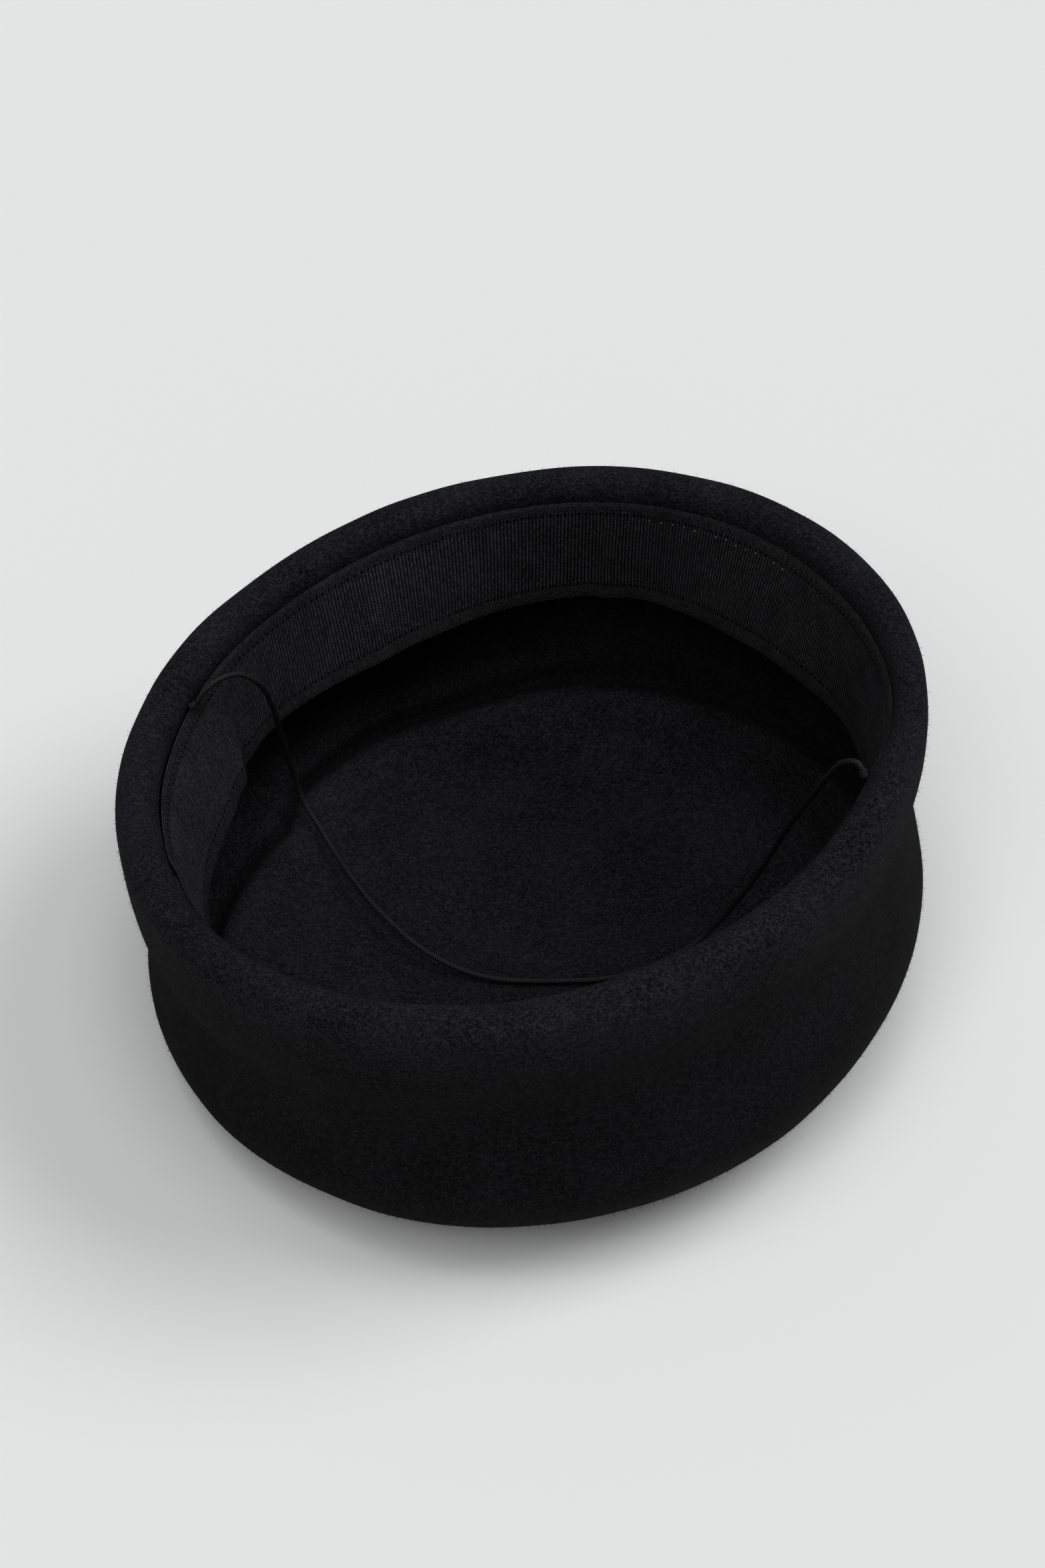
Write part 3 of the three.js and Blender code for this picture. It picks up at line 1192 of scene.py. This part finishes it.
@dataclass
class BandSewing:
    """The zigzag seam at the band's top, the small loops of its lower edge, and a few pale beads below the
    seam as painted glints of the thread.
    """

    band: Sweatband
    stitch_length: float = 0.0019
    stitch_rise: float = 0.0024
    stitch_top: float = 0.0003
    stitch_steps: int = 12
    thread: float = 0.0002
    arch: float = 0.75
    sink: float = 0.35
    loop_thread: float = 0.00034
    loop_swing: float = 0.00013
    loop_steps: int = 8
    loop_depth: tuple[float, float] = (0.3, 0.25)
    finish: ThreadFinish = ThreadFinish("sewing_thread")
    loop_finish: ThreadFinish = ThreadFinish(
        "edge_yarn", dark=(0.0008, 0.0007, 0.001), light=(0.014, 0.012, 0.015), turn=0.0005)
    speck_radius: float = 0.00016
    speck_gap: float = 2.2
    speck_angles: tuple[float, float] = (38.0, 72.0)
    speck_drop: float = 0.0038
    speck_scatter: float = 0.0003
    speck_lift: float = 0.3
    speck_chance: float = 0.65
    speck_seed: int = 3
    glint_finish: ThreadFinish = ThreadFinish("painted_thread_glint", dark=(0.3, 0.3, 0.29), light=(0.55, 0.55, 0.53))

    def needle_glints(self) -> bpy.types.Object:
        """Put pale beads below the seam at the back right: painted glints of the thread where it goes into
        the ribbon.

        Returns:
            The piece, with its material.
        """
        angles = np.arange(*self.speck_angles, self.speck_gap)
        chance = np.random.default_rng(self.speck_seed)
        angles = angles[chance.random(len(angles)) < self.speck_chance]
        runs = (angles - self.band.join_angle) % 360.0
        scatter = chance.uniform(-self.speck_scatter, self.speck_scatter, len(angles))
        lift = np.full_like(runs, self.speck_lift * self.speck_radius)
        bm = bmesh.new()
        bm.loops.layers.uv.new(WEAVE_MAP)
        # pale beads that stand for the thread's glints: painted highlights
        for place in self.band.surface(runs, self.band.width - self.speck_drop + scatter, -lift):
            bmesh.ops.create_icosphere(bm, subdivisions=1, radius=self.speck_radius,
                                       matrix=Matrix.Translation(Vector(place)))
        mesh = finished_mesh("band_needle_glints", bm)
        return new_object("band_needle_glints", mesh, self.glint_finish.material())

    def zigzag(self) -> bpy.types.Object:
        """Sew the band's top with a zigzag thread.

        Returns:
            The piece, with its material.
        """
        stitches = round(self.band.runs(2)[1] / self.stitch_length)
        runs, _ = self.band.runs(stitches * self.stitch_steps + 1)
        phase = np.arange(len(runs)) / self.stitch_steps % 1.0
        across = self.band.width - self.stitch_top - self.stitch_rise * np.abs(2 * phase - 1)
        lift = self.thread * (self.arch * np.sqrt(np.sin(math.pi * (2 * phase % 1.0))) - self.sink)
        line = self.band.surface(runs, across, -lift)
        mesh = thread_mesh("band_zigzag", even_points(line, 2 * len(line)), self.thread)
        return new_object("band_zigzag", mesh, self.finish.material())

    def edge_loops(self) -> bpy.types.Object:
        """Bind the band's lower edge with a row of small loops.

        Returns:
            The piece, with its material.
        """
        loops = round(self.band.runs(2)[1] / self.band.pitch)
        runs, _ = self.band.runs(loops * self.loop_steps + 1)
        phase = 2 * math.pi * np.arange(len(runs)) / self.loop_steps
        across = self.loop_thread / 2 - self.loop_swing * (1 + np.cos(phase)) / 2
        middle, sway = self.loop_depth
        depth = self.band.thickness * (middle - sway * np.sin(phase))
        mesh = thread_mesh("band_edge_loops", self.band.surface(runs, across, depth), self.loop_thread)
        return new_object("band_edge_loops", mesh, self.loop_finish.material())

    def dress(self) -> list[bpy.types.Object]:
        """Build the sewing and let it ride.

        Returns:
            The pieces.
        """
        pieces = (self.zigzag(), self.edge_loops(), self.needle_glints())
        return [attach(piece, Slot.RIBBON) for piece in pieces]


@dataclass
class Elastic:
    """The thin round elastic that lies loose in the crown."""

    diameter: float = 0.0014
    braid_depth: float = 0.00005
    step: float = 0.00022
    sides: int = 24
    strands: int = 4
    strand_length: float = 0.0014
    tack_length: float = 0.0017
    tack_turns: int = 6
    turn_steps: int = 20
    tack_thread: float = 0.00026
    tack_lift: float = 0.3
    route_steps: int = 40
    finish: BraidFinish = field(default_factory=BraidFinish)
    tack_finish: ThreadFinish = ThreadFinish("tack_thread")
    route: tuple[Point, ...] = (
        (-0.078, 0.0283, 0.0613), (-0.0768, 0.0284, 0.0625), (-0.0749, 0.0296, 0.065),
        (-0.0715, 0.032, 0.0666), (-0.0669, 0.035, 0.0658), (-0.0623, 0.037, 0.061),
        (-0.0599, 0.0396, 0.052), (-0.0588, 0.0435, 0.041), (-0.0581, 0.047, 0.033),
        (-0.0574, 0.0496, 0.0255), (-0.0565, 0.0515, 0.0185), (-0.0551, 0.0515, 0.0125),
        (-0.0533, 0.05, 0.009), (-0.0506, 0.046, 0.0072), (-0.0463, 0.0372, 0.0062),
        (-0.0414, 0.0272, 0.0065), (-0.0361, 0.018, 0.0067), (-0.0305, 0.0105, 0.0065),
        (-0.0248, 0.0043, 0.006), (-0.0185, -0.0002, 0.0052), (-0.0119, -0.0033, 0.0045),
        (-0.0055, -0.0048, 0.0041), (0.0024, -0.0053, 0.004), (0.0104, -0.0052, 0.004),
        (0.0169, -0.0048, 0.004), (0.0229, -0.0038, 0.0042), (0.0304, -0.0014, 0.005),
        (0.0374, 0.0012, 0.007), (0.0429, 0.0025, 0.011), (0.0472, 0.0015, 0.018),
        (0.0517, -0.0015, 0.029), (0.0562, -0.0067, 0.044), (0.0599, -0.0145, 0.062),
        (0.0635, -0.0208, 0.076), (0.0673, -0.0254, 0.088), (0.0699, -0.028, 0.094),
        (0.0726, -0.0301, 0.0959), (0.0738, -0.031, 0.0948), (0.0744, -0.0314, 0.0931),
    )

    def dress(self) -> bpy.types.Object:
        """Returns:
            The piece.
        """
        curve = smooth_route(np.array(self.route), self.route_steps)
        length = lengths_along(curve)[-1]
        line = even_points(curve, round(length / self.step) + 1)

        def radius(along: Array, angle: Array) -> Array:
            """Return the braid's radius."""
            slope = 2 * math.pi * along / self.strand_length
            braid = np.cos(self.strands * angle + slope) * np.cos(self.strands * angle - slope)
            return self.diameter / 2 + self.braid_depth * (braid - 0.5)

        mesh = round_cord("hat_elastic", line, radius, self.sides)
        piece = attach(new_object("hat_elastic", mesh, self.finish.material()), Slot.ELASTIC, "elastic_cord")
        for side, points in (("left", curve), ("right", curve[::-1])):
            attach(self.tack(f"elastic_tack_{side}", points), Slot.RIBBON)
        return piece

    def tack(self, name: str, points: Array) -> bpy.types.Object:
        """Wind sewing thread round an end of the elastic, where it is tacked into the seam.

        Args:
            name: Name of the piece.
            points: The elastic's points from that end on.

        Returns:
            The piece, with its material.
        """
        share = np.linspace(0.0, 1.0, self.tack_turns * self.turn_steps + 1)
        middle = points_at(points, share * self.tack_length)
        along = points[self.route_steps // 2] - points[0]
        along /= np.linalg.norm(along)
        side = np.cross(along, (0.0, 0.0, 1.0))
        side /= np.linalg.norm(side)
        up = np.cross(along, side)
        turn = 2 * math.pi * self.tack_turns * share[:, None]
        reach = self.diameter / 2 + self.tack_lift * self.tack_thread
        line = even_points(middle + reach * (np.cos(turn) * side + np.sin(turn) * up), 3 * len(share))
        return new_object(name, thread_mesh(name, line, self.tack_thread), self.tack_finish.material())


@dataclass(frozen=True)
class Lamp:
    """A far soft light; its azimuth counts from the right side towards the back."""

    name: str
    azimuth: float
    elevation: float
    softness: float
    strength: float

    def hang(self) -> None:
        """Add the light to the scene."""
        data = bpy.data.lights.new(self.name, "SUN")
        data.angle = math.radians(self.softness)
        data.energy = self.strength
        lamp = add_object(self.name, data)
        lift, turn = math.radians(self.elevation), math.radians(self.azimuth)
        towards = Vector((math.cos(lift) * math.cos(turn), math.cos(lift) * math.sin(turn), math.sin(lift)))
        lamp.rotation_euler = towards.to_track_quat("Z", "Y").to_euler()


@dataclass
class Studio:
    """Camera, pale floor and soft light."""

    camera_elevation: float = 42.0
    camera_distance: float = 0.95
    target: Point = (0.0, 0.0694, 0.0)
    focal_pixels: float = 5605.0
    image_height: float = 2352.0
    sensor_height: float = 24.0
    floor_half: float = 3.0
    lamps: tuple[Lamp, ...] = (
        Lamp("key", azimuth=8.0, elevation=48.0, softness=34.0, strength=1.35),
        Lamp("top", azimuth=-90.0, elevation=79.0, softness=35.0, strength=0.96),
        Lamp("front", azimuth=-106.0, elevation=49.0, softness=30.0, strength=0.95),
    )
    sky_strength: float = 0.12
    finish: FloorFinish = field(default_factory=FloorFinish)

    def place_camera(self) -> None:
        """Set the camera up at the photograph's viewing angle."""
        data = bpy.data.cameras.new("camera")
        data.sensor_fit = "VERTICAL"
        data.sensor_height = self.sensor_height
        data.lens = self.sensor_height * self.focal_pixels / self.image_height
        camera = add_object("camera", data)
        lift = math.radians(self.camera_elevation)
        away = Vector((0.0, -math.cos(lift), math.sin(lift))) * self.camera_distance
        camera.location = Vector(self.target) + away
        camera.rotation_euler = (math.radians(90.0 - self.camera_elevation), 0.0, 0.0)
        bpy.context.scene.camera = camera

    def lay_floor(self) -> None:
        """Lay the floor under the hat."""
        bm = bmesh.new()
        bmesh.ops.create_grid(bm, x_segments=1, y_segments=1, size=self.floor_half)
        new_object("floor", finished_mesh("floor", bm), self.finish.material())

    def light(self) -> None:
        """Light the hat softly from the right, from above and from the front, with a weak even sky."""
        scene = bpy.context.scene
        scene.view_settings.view_transform = "Standard"
        for lamp in self.lamps:
            lamp.hang()
        world = bpy.data.worlds.new("sky")
        world.use_nodes = True
        sky = world.node_tree.nodes["Background"]
        sky.inputs["Color"].default_value = (1.0, 1.0, 1.0, 1.0)
        sky.inputs["Strength"].default_value = self.sky_strength
        scene.world = world

    def set_up(self) -> None:
        """Set up the whole studio."""
        self.place_camera()
        self.lay_floor()
        self.light()
        log.info("studio: camera at %.0f degrees", self.camera_elevation)


def main() -> None:
    """Build the studio and the hat."""
    logging.basicConfig(level=logging.INFO, format="%(message)s")
    Studio().set_up()
    Elastic().dress()
    rim = RimOval()
    unevenness = Unevenness()
    felt = FeltCrown(rim, unevenness).dress()
    FeltNap(felt).dress()
    band = Sweatband(rim, unevenness)
    band.dress()
    BandSewing(band).dress()


if __name__ == "__main__":
    main()
